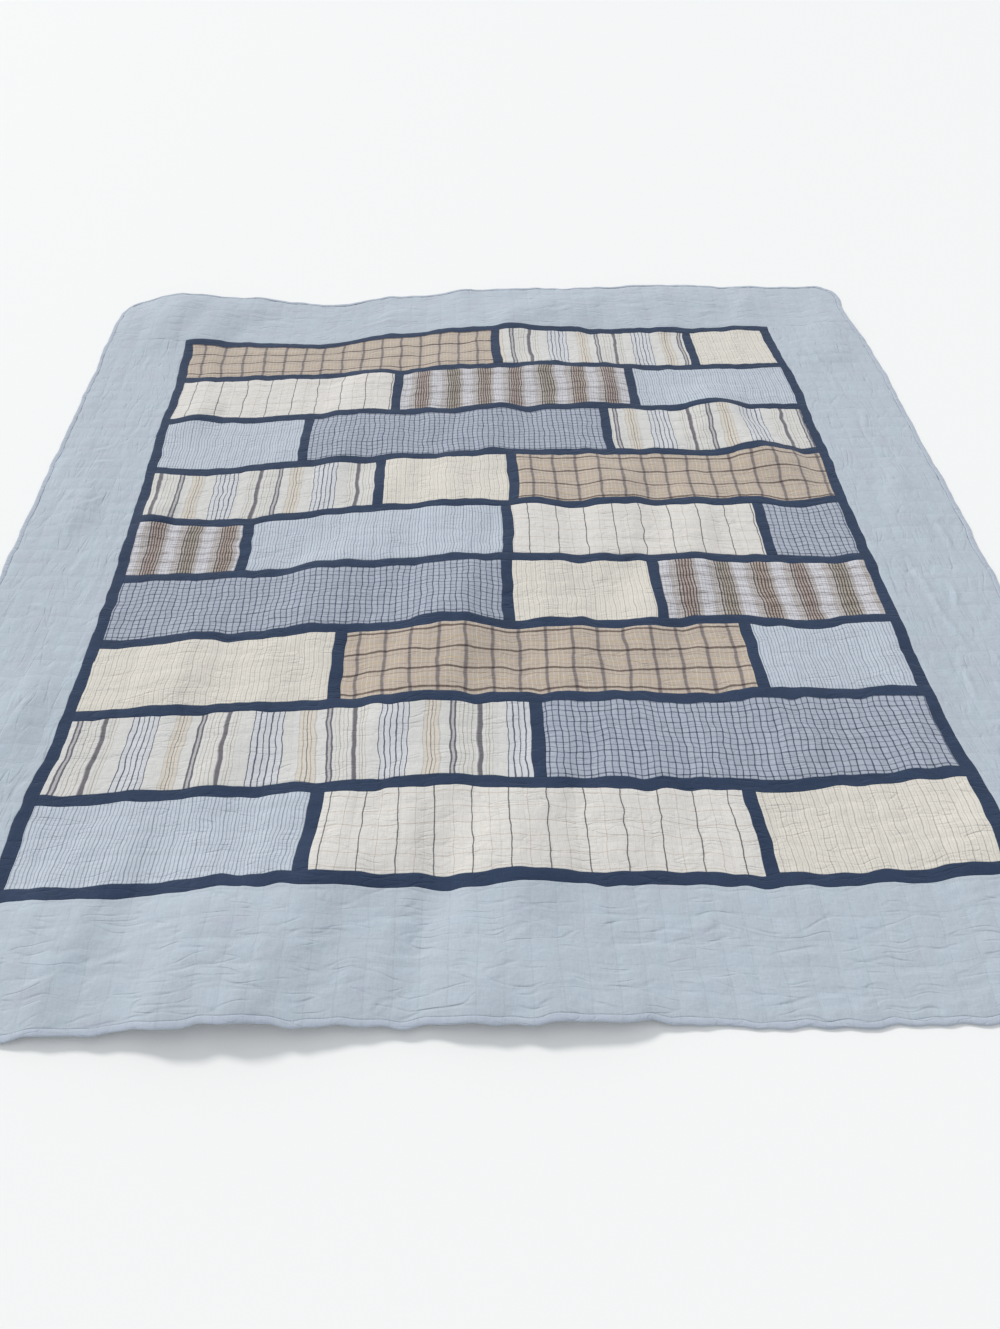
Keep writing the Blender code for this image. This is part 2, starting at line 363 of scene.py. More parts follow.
def millimetres(tree, uv_map, wander=0.0):
    """x and y sockets of a cloth's map in millimetres, wandering by up to so many as yarns do."""
    place = add(tree, "ShaderNodeUVMap", uv_map=uv_map)
    place = add(tree, "ShaderNodeVectorMath", {0: place.outputs[0], 1: (1000, 1000, 0)},
                operation="MULTIPLY")
    if wander:
        slow = add(tree, "ShaderNodeTexNoise", {"Vector": place.outputs[0], "Scale": 1 / 25,
                                                "Detail": 2.0})
        place = add(tree, "ShaderNodeVectorMath", {0: slow.outputs["Color"], 1: (wander,) * 3,
                                                   2: place.outputs[0]},
                    operation="MULTIPLY_ADD")
    split = add(tree, "ShaderNodeSeparateXYZ", {0: place.outputs[0]})
    return place.outputs[0], split.outputs[0], split.outputs[1]


# In millimetres. From one stitch to the next is 3 mm in life and 4 mm here, so that they show.
STITCH_PITCH, STITCH_LENGTH, STITCH_WIDTH = 4.0, 2.6, 1.8
STITCH_DEPTH, YARN_DEPTH = 0.12, 0.10
STITCH_PAINTED_SHADE = 0.05                    # painted shade: how much darker the colour is painted at a stitch, for the shade in the quilting groove
YARN_WANDER = 5


def quilting_lines(tree):
    """The quilting stitches: 1 on a stitch, 0 elsewhere."""
    _, x, y = millimetres(tree, "layout")
    pitch = QUILTING * INCH_MM
    on_line = []
    for across, along in ((x, y), (y, x)):
        near = add(tree, "ShaderNodeMath", {0: across, 1: pitch / 2}, operation="PINGPONG")
        line = add(tree, "ShaderNodeMath", {0: near.outputs[0], 1: STITCH_WIDTH / 2},
                   operation="LESS_THAN")
        step = add(tree, "ShaderNodeMath", {0: along, 1: STITCH_PITCH / 2}, operation="PINGPONG")
        dash = add(tree, "ShaderNodeMath", {0: step.outputs[0], 1: STITCH_LENGTH / 2},
                   operation="LESS_THAN")
        on_line.append(add(tree, "ShaderNodeMath", {0: line.outputs[0], 1: dash.outputs[0]},
                           operation="MULTIPLY"))
    return add(tree, "ShaderNodeMath", {0: on_line[0].outputs[0], 1: on_line[1].outputs[0]},
               operation="MAXIMUM").outputs[0]


def wrinkles(tree, length, width):
    """Thin meandering creases along x, of about this length and this far apart in millimetres:
    1 along the middle of a crease, 0 between. They come and go."""
    place, _, _ = millimetres(tree, "weave")
    drawn = add(tree, "ShaderNodeVectorMath", {0: place, 1: (1 / length, 1 / width, 1)},
                operation="MULTIPLY")
    field = add(tree, "ShaderNodeTexNoise", {"Vector": drawn.outputs[0], "Scale": 1.0,
                                             "Detail": 0.6})
    near = add(tree, "ShaderNodeMath", {0: field.outputs[0], 1: 0.5}, operation="SUBTRACT")
    near = add(tree, "ShaderNodeMath", {0: near.outputs[0]}, operation="ABSOLUTE")
    line = add(tree, "ShaderNodeMapRange", {0: near.outputs[0], 1: 0.0, 2: 0.05, 3: 1.0, 4: 0.0},
               interpolation_type="SMOOTHSTEP")
    patchy = add(tree, "ShaderNodeTexNoise", {"Vector": place, "Scale": 1 / 55, "Detail": 1.0})
    come = add(tree, "ShaderNodeMapRange", {0: patchy.outputs[0], 1: 0.40, 2: 0.58})
    return add(tree, "ShaderNodeMath", {0: line.outputs[0], 1: come.outputs[0]},
               operation="MULTIPLY").outputs[0]


def woven_cotton(name, pattern, slub=0.10, creases=((110, 26, 0.8), (45, 15, 0.5)), sheen=0.25):
    """A matte plain-woven cotton. pattern(tree, x, y) gives its colour from millimetres.

    The yarns of a washed cotton vary in thickness, which shows as short streaks both ways, and
    the cloth between the quilting is finely crinkled. creases are (length, spacing, depth) in mm.
    Loose fibre ends give it sheen.
    """
    material = bpy.data.materials.new(name)
    material.use_nodes = True
    tree = material.node_tree
    shader = tree.nodes["Principled BSDF"]
    place, x, y = millimetres(tree, "weave", wander=YARN_WANDER)
    colour = pattern(tree, x, y)
    streaks = []
    for stretch in ((1.1, 0.05, 1), (0.05, 1.1, 1)):
        drawn = add(tree, "ShaderNodeVectorMath", {0: place, 1: stretch}, operation="MULTIPLY")
        streaks.append(add(tree, "ShaderNodeTexNoise", {"Vector": drawn.outputs[0], "Scale": 1.0,
                                                        "Detail": 2.0}))
    both = add(tree, "ShaderNodeMath", {0: streaks[0].outputs[0], 1: streaks[1].outputs[0]},
               operation="ADD")
    shade = add(tree, "ShaderNodeMapRange", {0: both.outputs[0], 1: 0.6, 2: 1.4,
                                             3: 1 - slub, 4: 1 + slub})
    stitch = quilting_lines(tree)
    # The colour is painted darker along the quilting stitches: painted shade of the groove that they
    # draw in.
    stitch_shaded = add(tree, "ShaderNodeMath", {0: stitch, 1: -STITCH_PAINTED_SHADE, 2: shade.outputs[0]},
                  operation="MULTIPLY_ADD")
    tinted = add(tree, "ShaderNodeVectorMath", {0: colour, "Scale": stitch_shaded.outputs[0]},
                 operation="SCALE")
    tree.links.new(tinted.outputs[0], shader.inputs["Base Color"])
    crinkle = add(tree, "ShaderNodeTexNoise", {"Vector": place, "Scale": 1 / 9, "Detail": 3.0,
                                               "Roughness": 0.6})
    rough = add(tree, "ShaderNodeMath", {0: both.outputs[0], 1: YARN_DEPTH,
                                         2: crinkle.outputs[0]}, operation="MULTIPLY_ADD")
    height = add(tree, "ShaderNodeMath", {0: stitch, 1: -STITCH_DEPTH, 2: rough.outputs[0]},
                 operation="MULTIPLY_ADD")
    for length, spacing, depth in creases:
        height = add(tree, "ShaderNodeMath", {0: wrinkles(tree, length, spacing), 1: -depth,
                                              2: height.outputs[0]}, operation="MULTIPLY_ADD")
    bump = add(tree, "ShaderNodeBump", {"Height": height.outputs[0], "Strength": 1.0,
                                        "Distance": 0.001})
    tree.links.new(bump.outputs[0], shader.inputs["Normal"])
    shader.inputs["Roughness"].default_value = 0.92
    shader.inputs["Specular IOR Level"].default_value = 0.25
    shader.inputs["Sheen Weight"].default_value = sheen
    shader.inputs["Sheen Roughness"].default_value = 0.5
    return material


def chambray(warp, weft):
    """Plain cloth of one colour one way and another the other way, mixed as its yarns vary."""
    def pattern(tree, x, y):
        place = add(tree, "ShaderNodeCombineXYZ", {0: x, 1: y})
        cloud = add(tree, "ShaderNodeTexNoise", {"Vector": place.outputs[0], "Scale": 1 / 60,
                                                 "Detail": 4.0})
        mixed = add(tree, "ShaderNodeMix", {0: cloud.outputs[0], 6: linear(warp),
                                            7: linear(weft)}, data_type="RGBA")
        return mixed.outputs[2]
    return pattern


backing_cotton = woven_cotton("pale_blue_backing_cotton", chambray("#B4BCC7", "#BDC5CF"))
half_x, half_y = HALF_WIDTH - BINDING_WIDTH, HALF_LENGTH - BINDING_WIDTH
mesh, x, y = cloth_grid(stations(-half_x, half_x, QUILTING / 3, 0.2),
                        stations(-half_y, half_y, QUILTING / 3, 0.2))
x, y = round_corner(x, y)
cloth_maps(mesh, x, y)
set_places(mesh, laid(x, y, CLOTH + DRAWN_UP * (1 - puff(x, y))))
backing = cloth_piece("backing", [mesh], backing_cotton)

# ---------------------------------------------------------------------------------------------
# Borders: four wide strips of pale blue chambray, sewn round the panel and quilted. They are
# slack, so they crinkle: along the strip at the head and foot, and up and down at the sides.
# ---------------------------------------------------------------------------------------------
PANEL_WIDTH, PANEL_LENGTH = 68.0, 73.0
CELL = QUILTING / 8                    # one cell of a sheet's grid
SEAM = 0.004                           # half the slit between two sewn pieces
EDGE = 0.04                            # the first and last cells, which turn down into a seam
STITCHED, PUFFED = 0.13, 0.035         # inches over the underside: at a stitch, and more between
LOWEST = 0.09                          # where a deep crease meets the backing
SEAM_DIP, SEAM_REACH = 0.016, 0.11     # how far a seam pulls the face down, and how wide
CRINKLE_LENGTH, CRINKLE_WIDTH, CRINKLE_HEIGHT = 3.0, 0.8, 0.026
RUMPLE_LENGTH, RUMPLE_HEIGHT = 0.5, 0.015
RIDGE_PLACE, RIDGE_SHARE = 1.5, 0.7    # in half widths of a crease, and in its depth


def crinkles(x, y, length, width, seed):
    """Thin soft ridges and troughs, about so long in x and so wide in y, from -1 to 1."""
    bend = 0.8 * slow_noise(x / (2 * length), y / (2 * length), seed + 2)
    n = slow_noise(x / length, y / width + bend, seed)
    m = slow_noise(x / length + 31.7, y / width + bend + 17.3, seed + 1)
    return np.maximum(0, 1 - 3 * np.abs(n)) - np.maximum(0, 1 - 3 * np.abs(m))


# A crease is a short soft trough that a hand could press flat: as a swell, but this small. The
# cloth that it takes up stands beside it as a low ridge.
CREASES = [
    # across the foot border
    Swell(-31, -39.2, 100, 2.0, 0.30, -0.07), Swell(-29, -42.1, 76, 2.0, 0.30, -0.08),
    Swell(-25, -40.8, 79, 1.8, 0.30, -0.07), Swell(-22, -38.8, 80, 2.0, 0.30, -0.06),
    Swell(-19.5, -42.2, 106, 2.2, 0.30, -0.08), Swell(-18, -40.3, 95, 2.0, 0.30, -0.07),
    Swell(-15.5, -42.2, 105, 1.6, 0.30, -0.08), Swell(-11.5, -40.1, 79, 2.4, 0.30, -0.08),
    Swell(-10, -43.4, 84, 3.0, 0.30, -0.06), Swell(-5.5, -41.1, 88, 3.2, 0.30, -0.08),
    Swell(-7, -38.6, 96, 2.0, 0.30, -0.06), Swell(-3, -42.5, 98, 1.8, 0.30, -0.08),
    Swell(-1.5, -40.1, 106, 1.8, 0.30, -0.09), Swell(0.7, -39.9, 60, 1.2, 0.28, -0.08),
    Swell(3, -39.1, 105, 1.8, 0.30, -0.08), Swell(5, -43.0, 95, 2.5, 0.30, -0.06),
    Swell(8.5, -40.5, 82, 2.5, 0.30, -0.08), Swell(12, -39.2, 84, 2.0, 0.30, -0.06),
    Swell(13, -42.5, 85, 2.5, 0.30, -0.06), Swell(19, -40.8, 96, 2.5, 0.30, -0.07),
    Swell(26, -42.2, 88, 2.5, 0.30, -0.06),
    # up the right border, the deepest of all beside the panel
    Swell(36.2, -3.6, -24, 2.4, 0.40, -0.34), Swell(37.0, -7.2, -12, 2.4, 0.40, -0.34),
    Swell(37.2, -10.6, -4, 2.4, 0.40, -0.32), Swell(37.7, -13.8, -14, 2.6, 0.40, -0.32),
    Swell(40.8, -1.5, -6, 3.2, 0.40, -0.32), Swell(39.2, -9.5, 4, 2.2, 0.34, -0.24),
    Swell(40.0, -16.5, -14, 3.0, 0.34, -0.24), Swell(36.9, -18.5, 4, 3.0, 0.34, -0.24),
    Swell(39.4, -21, -12, 3.0, 0.34, -0.22), Swell(37.0, 29, -10, 4.0, 0.36, -0.26),
    Swell(37.5, 24.5, -2, 2.2, 0.34, -0.09), Swell(40.3, 8.5, -12, 2.6, 0.34, -0.09),
    Swell(38.7, 17, 8, 3.0, 0.34, -0.08), Swell(40.2, 12, -3, 2.4, 0.34, -0.08),
    # up the left border, short and every way
    Swell(-40.2, 28, 4, 2.6, 0.34, -0.09), Swell(-38.5, 32, 10, 2.6, 0.34, -0.09),
    Swell(-39.5, 15.8, 60, 1.6, 0.34, -0.08), Swell(-38.9, 13.6, 80, 1.5, 0.34, -0.08),
    Swell(-37.2, 15, -10, 2.0, 0.34, -0.09), Swell(-37.0, 18.5, 14, 1.6, 0.34, -0.08),
    Swell(-41.2, 7.5, 20, 2.0, 0.34, -0.08), Swell(-38.5, 7, 40, 1.6, 0.34, -0.08),
    Swell(-40.0, 2, -30, 2.0, 0.34, -0.08), Swell(-38.0, -2, 12, 2.2, 0.34, -0.08),
    Swell(-36.3, -6, 8, 3.0, 0.34, -0.10), Swell(-40.0, -8, -60, 2.0, 0.34, -0.08),
    Swell(-39.6, -11.5, -12, 2.2, 0.34, -0.08), Swell(-37.6, -19.5, 10, 2.6, 0.34, -0.08),
    # across the head border
    Swell(-24, 41.0, 96, 3.0, 0.50, -0.10), Swell(-12, 40.0, 84, 3.0, 0.50, -0.09),
    Swell(5, 42.5, 104, 2.5, 0.50, -0.10), Swell(9, 40.5, 70, 2.0, 0.50, -0.10),
    Swell(18, 41.5, 92, 3.0, 0.50, -0.10), Swell(27, 40.5, 84, 3.0, 0.50, -0.09),
]


def quilted_face(x, y, x0, x1, y0, y1, lengthwise):
    """Height of a quilted cloth's face over the underside; its seams to its neighbours lie low."""
    edge = np.minimum(np.minimum(x - x0, x1 - x), np.minimum(y - y0, y1 - y))
    p, q = (x, y) if lengthwise else (y, x)
    crinkled = crinkles(p, q, CRINKLE_LENGTH, CRINKLE_WIDTH, 21)
    crinkled = crinkled * (0.6 + 0.6 * slow_noise(x / 5, y / 5, 25))
    loft = STITCHED + PUFFED * puff(x, y) * (1 + 0.8 * slow_noise(x / 4, y / 4, 26))
    loft = loft + CRINKLE_HEIGHT * crinkled
    loft = loft + RUMPLE_HEIGHT * slow_noise(x / RUMPLE_LENGTH, y / RUMPLE_LENGTH, 27)
    for crease in CREASES:
        aside, turn = RIDGE_PLACE * crease.half_width, radians(crease.turn)
        ridge = crease._replace(x=crease.x + aside * np.cos(turn), y=crease.y - aside * np.sin(turn))
        loft = loft + rise_of(crease, x, y) - RIDGE_SHARE * rise_of(ridge, x, y)
    return np.maximum(loft - SEAM_DIP * np.exp(-(edge / SEAM_REACH) ** 2), LOWEST)


def sewn_sheet(x0, x1, y0, y1, lengthwise=True, cut=(0.0, 0.0), turned=False):
    """One cut piece of the quilt's top between its finished edges, laid and quilted."""
    mesh, u, v = cloth_grid(stations(x0 + SEAM, x1 - SEAM, CELL, EDGE),
                            stations(y0 + SEAM, y1 - SEAM, CELL, EDGE))
    x, y = round_corner(u, v)
    cloth_maps(mesh, x, y, *cut, turned, lengthwise)
    set_places(mesh, laid(x, y, quilted_face(u, v, x0, x1, y0, y1, lengthwise)))
    return mesh


border_chambray = woven_cotton("pale_blue_border_chambray", chambray("#B1B6C1", "#B5C3CB"),
                               creases=((110, 26, 0.7), (150, 48, 0.9)))
panel_x, panel_y = PANEL_WIDTH / 2, PANEL_LENGTH / 2
for name, x0, x1, y0, y1, lengthwise in (
    ("border_head", -half_x, half_x, panel_y, half_y, True),
    ("border_foot", -half_x, half_x, -half_y, -panel_y, True),
    ("border_left", -half_x, -panel_x, -panel_y, panel_y, False),
    ("border_right", panel_x, half_x, -panel_y, panel_y, False),
):
    border = cloth_piece(f"{name}_cloth", [sewn_sheet(x0, x1, y0, y1, lengthwise)],
                         border_chambray)
    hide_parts(name)

# ---------------------------------------------------------------------------------------------
# Sashing: navy chambray strips, 1 inch wide when sewn, that frame every patch. Ten run across,
# two down the sides, and short posts stand between the patches of a row.
# ---------------------------------------------------------------------------------------------
SASH = 1.0
ROW_PITCH = 8.0
ROWS = 9
POSTS = [                              # middles of the posts in each row, from the head down
    (1.25, 23.5), (-9.75, 15.75), (-18.75, 12.25), (-10.75, 2.25), (-22.5, 1.5, 25.25),
    (1.25, 14.25), (-12.75, 21.0), (3.0,), (-13.5, 18.25),
]


def row_top(row):
    """y of the middle of the sash strip above a row, the rows counted from 0 at the head."""
    return (ROWS / 2 - row) * ROW_PITCH


navy_chambray = woven_cotton("navy_sashing_chambray", chambray("#26344C", "#31425C"), slub=0.16,
                             sheen=0.1)
inner_x, inner_y = panel_x - SASH, panel_y - SASH
strips = [(-panel_x, panel_x, inner_y, panel_y), (-panel_x, panel_x, -panel_y, -inner_y),
          (-panel_x, -inner_x, -inner_y, inner_y), (inner_x, panel_x, -inner_y, inner_y)]
for row in range(1, ROWS):
    strips.append((-inner_x, inner_x, row_top(row) - SASH / 2, row_top(row) + SASH / 2))
for row, posts in enumerate(POSTS):
    for post in posts:
        strips.append((post - SASH / 2, post + SASH / 2,
                       row_top(row + 1) + SASH / 2, row_top(row) - SASH / 2))
sashing = cloth_piece("sashing", [sewn_sheet(*strip) for strip in strips], navy_chambray)
run = sum(max(x1 - x0, y1 - y0) for x0, x1, y0, y1 in strips)
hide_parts("centre_panel")

# ---------------------------------------------------------------------------------------------
# Patches: 27 oblongs, 7 inches deep, of seven yarn-dyed cottons, sewn between the sashes. Every
# stripe runs from the foot to the head, and each patch is cut where the cloth happened to be.
# ---------------------------------------------------------------------------------------------
# For each row from the head down: the cloth of each patch, the place in x and y where its
# pattern starts, and 1 if the cloth was turned end for end.
Patch = namedtuple("Patch", "cloth cut_x cut_y turned")
PATCHES = [
    [Patch("tan_check", -31.6, 29.2, 0), Patch("wide_stripe", 5.0, 0, 0),
     Patch("cream_stripe", 24.3, 0, 0)],
    [Patch("windowpane", -31.5, 21.6, 0), Patch("brown_plaid", -7.9, 22.0, 0),
     Patch("blue_stripe", 16.6, 0, 0)],
    [Patch("blue_stripe", -32.8, 0, 0), Patch("blue_check", -17.8, 12.7, 0),
     Patch("wide_stripe", 21.2, 0, 1)],
    [Patch("wide_stripe", -22.5, 0, 1), Patch("cream_stripe", -9.8, 0, 0),
     Patch("tan_check", 4.1, 4.7, 0)],
    [Patch("brown_plaid", -32.0, -3.0, 0), Patch("blue_stripe", -21.3, 0, 0),
     Patch("windowpane", 3.5, -2.6, 0), Patch("blue_check", 25.7, -3.2, 0)],
    [Patch("blue_check", -32.8, -11.2, 0), Patch("cream_stripe", 2.2, 0, 0),
     Patch("brown_plaid", 16.0, -11.0, 0)],
    [Patch("cream_stripe", -32.7, 0, 0), Patch("tan_check", -11.2, -19.1, 0),
     Patch("blue_stripe", 21.7, 0, 0)],
    [Patch("wide_stripe", -30.5, 0, 0), Patch("blue_check", 3.8, -27.2, 0)],
    [Patch("blue_stripe", -32.6, 0, 0), Patch("windowpane", -12.4, -35.2, 0),
     Patch("cream_stripe", 19.2, 0, 0)],
]


def striped(tree, place, repeat, bands):
    """Colour of a stripe cloth from millimetres across it. bands are (start, colour), and each
    runs on to the next one's start."""
    turns = add(tree, "ShaderNodeMath", {0: place, 1: repeat}, operation="DIVIDE")
    share = add(tree, "ShaderNodeMath", {0: turns.outputs[0]}, operation="FRACT")
    ramp = add(tree, "ShaderNodeValToRGB", {0: share.outputs[0]})
    stops = ramp.color_ramp
    stops.interpolation = "CONSTANT"
    stops.elements.remove(stops.elements[1])
    stops.elements[0].color = linear(bands[0][1])
    for start, colour in bands[1:]:
        stops.elements.new(start / repeat).color = linear(colour)
    return ramp.outputs[0]


def crossed(tree, warp, weft, strength=1.0):
    """Warp colour as the weft across it darkens it; the weft's plain bands are white."""
    mixed = add(tree, "ShaderNodeMix", {0: strength, 6: warp, 7: weft}, data_type="RGBA",
                blend_type="MULTIPLY")
    return mixed.outputs[2]


def uneven(tree, x, y, least):
    """Strength of a slubby weft, which comes and goes along its length, from least to 1."""
    place = add(tree, "ShaderNodeCombineXYZ", {0: x, 1: y})
    drawn = add(tree, "ShaderNodeVectorMath", {0: place.outputs[0], 1: (1 / 22, 1 / 4, 1)},
                operation="MULTIPLY")
    slubs = add(tree, "ShaderNodeTexNoise", {"Vector": drawn.outputs[0], "Scale": 1.0,
                                             "Detail": 1.0})
    return add(tree, "ShaderNodeMapRange", {0: slubs.outputs[0], 1: 0.35, 2: 0.6, 3: least,
                                            4: 1.0}).outputs[0]


# Tan check: tan with soft grey-brown lines about every 56 mm one way and 52 mm the other, and
# pale yarns between.
def tan_check(tree, x, y):
    tan, pale, grey = "#B9AB9D", "#C4B9AC", "#988E89"
    warp = striped(tree, x, 55.6, [
        (0, grey), (1.2, "#7D7572"), (6.4, grey), (8, tan), (17.5, pale), (19, tan),
        (26.5, "#C6BDA8"), (28.5, tan), (36, pale), (37.5, tan), (46, pale), (47, tan),
    ])
    weft = striped(tree, y, 52.5, [
        (0, "#B5ADAB"), (1, "#948B8A"), (4.4, "#B5ADAB"), (5.4, "#FFFFFF"), (14, "#E3D6CC"),
        (15.2, "#FFFFFF"), (25, "#FFF6DC"), (27, "#FFFFFF"), (43, "#D9CBC2"), (44.4, "#FFFFFF"),
    ])
    return crossed(tree, warp, weft)


# Wide stripe: cream with a grey bar, six ink lines on pale blue, a tan bar and a grey pair.
def wide_stripe(tree, x, y):
    cream, blue, ink, tan = "#D1D0CC", "#CCCED1", "#5F626E", "#CFC9BF"
    bars = striped(tree, x, 246, [
        (0, "#9C999A"), (1.2, "#6B686C"), (8.8, "#9C999A"), (10, cream), (57, ink), (59.3, blue),
        (68, ink), (70.3, blue), (79, ink), (81.3, blue), (90, ink), (92.3, blue), (101, ink),
        (103.3, blue), (112, ink), (114.3, cream), (145, tan), (174, cream), (195, "#66656C"),
        (198, "#B4B1B1"), (203.5, "#66656C"), (207, cream),
    ])
    faint, brown, white = "#E9E4DE", "#D3CAC1", "#FFFFFF"
    lines = striped(tree, x, 246, [
        (0, white), (16, faint), (17.6, white), (22, brown), (23.4, white), (28, faint),
        (30, white), (143, faint), (145, white), (150, brown), (152, white), (158, "#A39C96"),
        (159.8, white), (165, brown), (167, white), (173, faint), (176, white), (213, faint),
        (215, white), (221, brown), (222.4, white), (228, faint), (230, white), (236, brown),
        (237.4, white),
    ])
    return crossed(tree, bars, lines)


# Cream stripe: warm cream with fine beige pinstripes, every other one fainter.
def cream_stripe(tree, x, y):
    cream = "#D9D4CA"
    return striped(tree, x, 20.8, [
        (0, "#B3ABA0"), (1.6, cream), (6.4, "#CDC7BC"), (7.4, cream), (10.4, "#C1BAAF"),
        (11.8, cream), (16, "#CDC7BC"), (17, cream),
    ])


# Windowpane: cream with a fine charcoal line every 67 mm and faint tan lines between and across.
def windowpane(tree, x, y):
    cream = "#D8D4CE"
    warp = striped(tree, x, 67, [
        (0, "#6E6C6B"), (2.1, cream), (16, "#CFC8BE"), (17, cream), (33, "#C1B8AC"), (34.4, cream),
        (50, "#CFC8BE"), (51, cream),
    ])
    weft = striped(tree, y, 32, [(0, "#E8E2DB"), (1.4, "#FFFFFF")])
    return crossed(tree, warp, weft)


# Brown plaid: bands of charcoal yarns on rust, olive or brown, white between them, all crossed
# by scattered dark wefts.
def brown_plaid(tree, x, y):
    dark, shade, light, grey, white = "#5A5554", "#A09B99", "#BDB7B5", "#AFADB1", "#CCCBCF"
    yarns = striped(tree, x, 86, [
        (0, light), (3, shade), (5, light), (8, dark), (10.8, light), (14.5, dark), (17.3, light),
        (21, dark), (23.8, light), (27.5, dark), (30.3, light), (34, dark), (36.8, light),
        (40.5, dark), (43.2, light), (47, shade), (49, light), (51, shade), (52.4, white),
        (57, grey), (58.4, white), (64, grey), (65.2, white), (73, grey), (74.4, white),
        (78, shade), (79.4, light), (83, shade), (84.4, light),
    ])
    dyes = striped(tree, x, 258, [
        (0, "#FFFFFF"), (8, "#F1ECE9"), (14, "#E6D7D0"), (38, "#F1ECE9"), (45, "#FFFFFF"),
        (94, "#F0EDE4"), (100, "#E1DCCF"), (124, "#F0EDE4"), (131, "#FFFFFF"),
        (180, "#F1E9E2"), (186, "#E8DACF"), (210, "#F1E9E2"), (217, "#FFFFFF"),
    ])
    weft = striped(tree, y, 84, [
        (0, "#8C8583"), (1.6, "#F1EFEE"), (5, "#B5B0AE"), (6.4, "#FFFFFF"), (13, "#A7A19F"),
        (14.6, "#FFFFFF"), (20, "#C4C0BE"), (21.2, "#F6F5F4"), (27, "#7C7573"), (29, "#E2DEDC"),
        (32, "#968F8D"), (33.6, "#F1EFEE"), (39, "#B5B0AE"), (40.3, "#FFFFFF"), (48, "#BDB8B6"),
        (49.2, "#FFFFFF"), (54, "#CBC7C5"), (55.2, "#F1EFEE"), (58, "#857E7C"), (59.8, "#E8E5E3"),
        (63, "#A7A19F"), (64.5, "#FFFFFF"), (72, "#B5B0AE"), (73.4, "#FFFFFF"),
    ])
    return crossed(tree, crossed(tree, yarns, dyes), weft, uneven(tree, x, y, 0.3))


# Blue stripe: pale blue with blue-grey pinstripes every 7 mm, each third one stronger.
def blue_stripe(tree, x, y):
    ground = "#BDC5CE"
    return striped(tree, x, 20.7, [
        (0, "#8A94A2"), (2.1, ground), (6.9, "#98A1AE"), (8.7, ground), (13.8, "#98A1AE"),
        (15.6, ground),
    ])


# Blue check: mid blue-grey with ink lines every 13 mm one way and 12 mm the other.
def blue_check(tree, x, y):
    warp = striped(tree, x, 26, [(0, "#525B6F"), (2.5, "#A9AFBB"), (13, "#636B7D"),
                                 (15.3, "#A4AAB7")])
    weft = striped(tree, y, 48.8, [
        (0, "#878D9B"), (2.4, "#FFFFFF"), (12.2, "#ACB0BC"), (14.1, "#FFFFFF"), (24.4, "#9297A5"),
        (26.4, "#FFFFFF"), (36.6, "#B3B6C1"), (38.3, "#FFFFFF"),
    ])
    return crossed(tree, warp, weft, uneven(tree, x, y, 0.6))


for pattern in (tan_check, wide_stripe, cream_stripe, windowpane, brown_plaid, blue_stripe,
                blue_check):
    cloth = pattern.__name__
    sheets, run = [], 0.0
    for row, patches in enumerate(PATCHES):
        middles = (-panel_x + SASH / 2, *POSTS[row], panel_x - SASH / 2)
        for patch, left, right in zip(patches, middles, middles[1:]):
            if patch.cloth != cloth:
                continue
            x0, x1 = left + SASH / 2, right - SASH / 2
            y0, y1 = row_top(row + 1) + SASH / 2, row_top(row) - SASH / 2
            sheets.append(sewn_sheet(x0, x1, y0, y1, cut=(patch.cut_x, patch.cut_y),
                                     turned=patch.turned))
            run += x1 - x0
    slub = 0.20 if pattern is brown_plaid else 0.12       # the plaid's yarns are the most uneven
    piece = cloth_piece(f"{cloth}_patches", sheets,
                        woven_cotton(f"{cloth}_cotton", pattern, slub=slub))
    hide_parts("centre_panel")

# ---------------------------------------------------------------------------------------------
# Binding: a narrow strip of the border's chambray, folded over the raw edge and stitched down on
# both faces. It draws up a little at the stitches, so it is faintly puckered along its length.
# ---------------------------------------------------------------------------------------------
BINDING_CELL = 0.3                     # inches, as the two below
BINDING_PUCKER, PUCKER_LENGTH = 0.016, 0.4
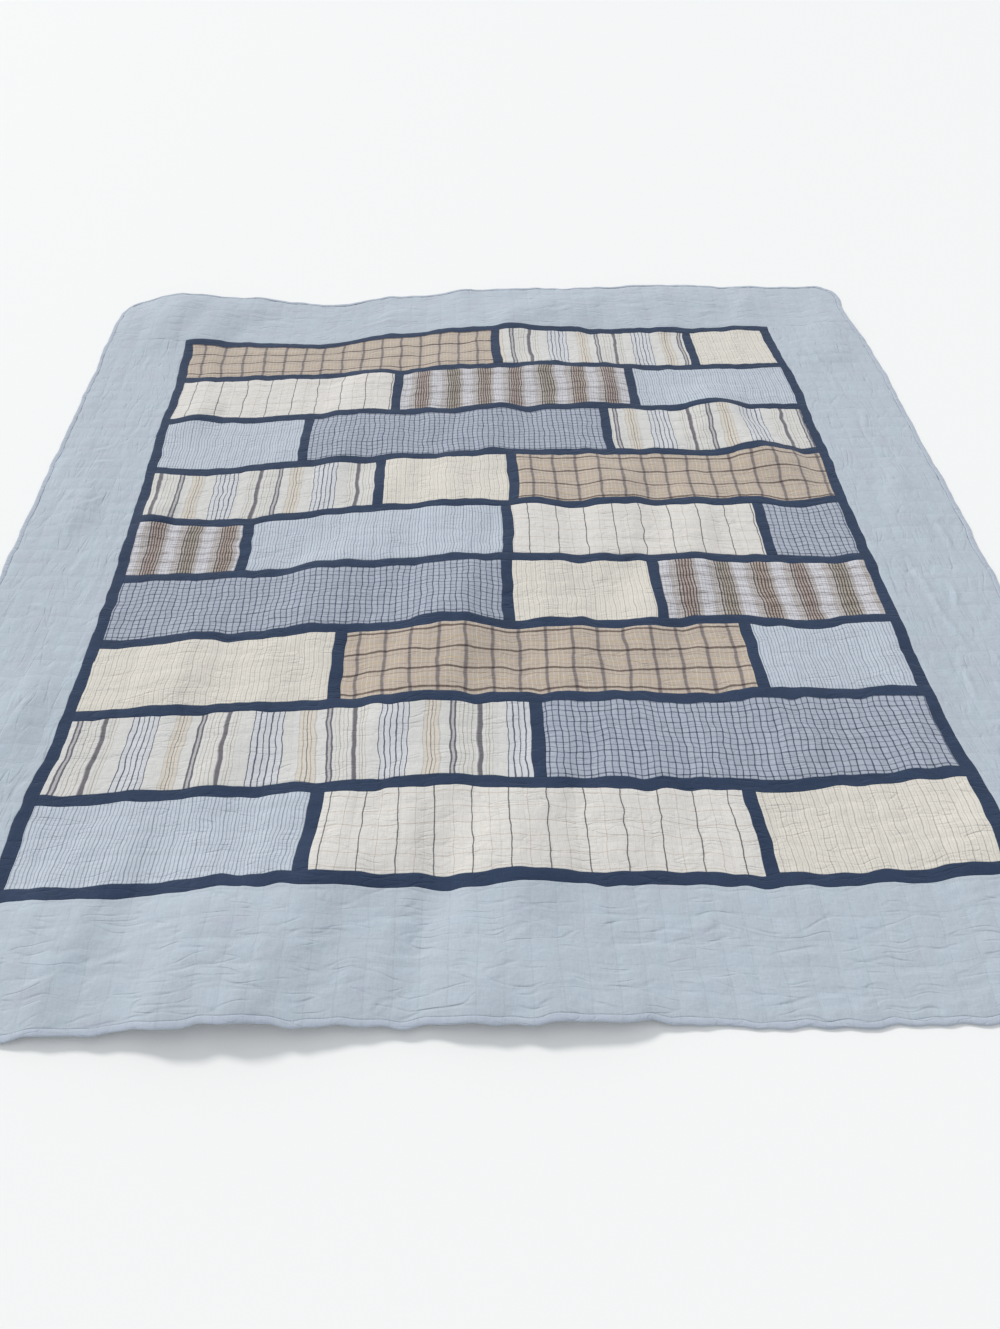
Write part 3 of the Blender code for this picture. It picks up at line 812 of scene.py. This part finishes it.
# Across the strip, from its seam on the face, over the edge, to its seam underneath: how far in
# from the quilt's edge, and how high over the underside, in inches.
BINDING_FOLD = [
    (0.465, 0.135), (0.43, 0.152), (0.36, 0.170), (0.24, 0.180), (0.12, 0.172), (0.04, 0.145),
    (0.00, 0.105), (0.04, 0.055), (0.13, 0.030), (0.30, 0.030), (0.465, 0.030),
]
inset = np.array([place[0] for place in BINDING_FOLD])
rise = np.array([place[1] for place in BINDING_FOLD])
binding_chambray = woven_cotton("pale_blue_binding_chambray", chambray("#ABB4C1", "#B7BFCA"))
for name, side, along_x in (
    ("binding_head", 1, True), ("binding_foot", -1, True),
    ("binding_left", -1, False), ("binding_right", 1, False),
):
    half_run, half_out = (HALF_WIDTH, HALF_LENGTH) if along_x else (HALF_LENGTH, HALF_WIDTH)
    cells = round(2 * half_run / BINDING_CELL)
    mesh, share, step = cloth_grid(np.linspace(-1, 1, cells + 1), np.arange(len(inset)))
    fold = step.astype(int)
    along = share * (half_run - inset[fold] - SEAM)
    out = side * (half_out - inset[fold])
    x, y = round_corner(*((along, out) if along_x else (out, along)))
    on_face = rise[fold] > 0.1
    pucker = BINDING_PUCKER * slow_noise(along / PUCKER_LENGTH, out / 3, 41) * on_face
    cloth_maps(mesh, x, y)
    set_places(mesh, laid(x, y, rise[fold] + pucker))
    # The walk along the strip turns the grid over on two of the four sides.
    if (side > 0) != along_x:
        mesh.flip_normals()
    binding = cloth_piece(f"{name}_cloth", [mesh], binding_chambray)
    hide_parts(name)

# ---------------------------------------------------------------------------------------------
# Floor and light: a plain pale floor under an even, soft, slightly cool sky, with a hazy sun from
# the far left, which draws the swells and the crinkles.
# ---------------------------------------------------------------------------------------------
FLOOR_HALF = 8.0
FLOOR_DROP = 0.0005                    # below the quilt, so that the two don't share a plane
SUN_FROM = (-0.8, 0.9, 0.75)
bm = bmesh.new()
bmesh.ops.create_grid(bm, x_segments=1, y_segments=1, size=FLOOR_HALF)
bmesh.ops.translate(bm, verts=bm.verts, vec=(0, 0, -FLOOR_DROP))
floor_mesh = bpy.data.meshes.new("floor")
bm.to_mesh(floor_mesh)
bm.free()
floor_paint = bpy.data.materials.new("matte_white_floor")
floor_paint.use_nodes = True
floor_shader = floor_paint.node_tree.nodes["Principled BSDF"]
floor_shader.inputs["Base Color"].default_value = linear("#F4F4F2")
floor_shader.inputs["Roughness"].default_value = 0.9
floor_mesh.materials.append(floor_paint)
floor = bpy.data.objects.new("floor", floor_mesh)
bpy.context.scene.collection.objects.link(floor)

world = bpy.data.worlds.new("sky")
world.use_nodes = True
sky = world.node_tree.nodes["Background"]
sky.inputs["Color"].default_value = (0.92, 0.955, 1.0, 1)
sky.inputs["Strength"].default_value = 0.72
bpy.context.scene.world = world
bpy.context.scene.view_settings.view_transform = "Standard"

sun = bpy.data.lights.new("hazy_sun", "SUN")
sun.angle = radians(10)
sun.energy = 2.0
sun.color = (1.0, 0.98, 0.95)
sunlight = bpy.data.objects.new("hazy_sun", sun)
sunlight.matrix_world = Vector(SUN_FROM).to_track_quat("Z", "Y").to_matrix().to_4x4()
bpy.context.scene.collection.objects.link(sunlight)
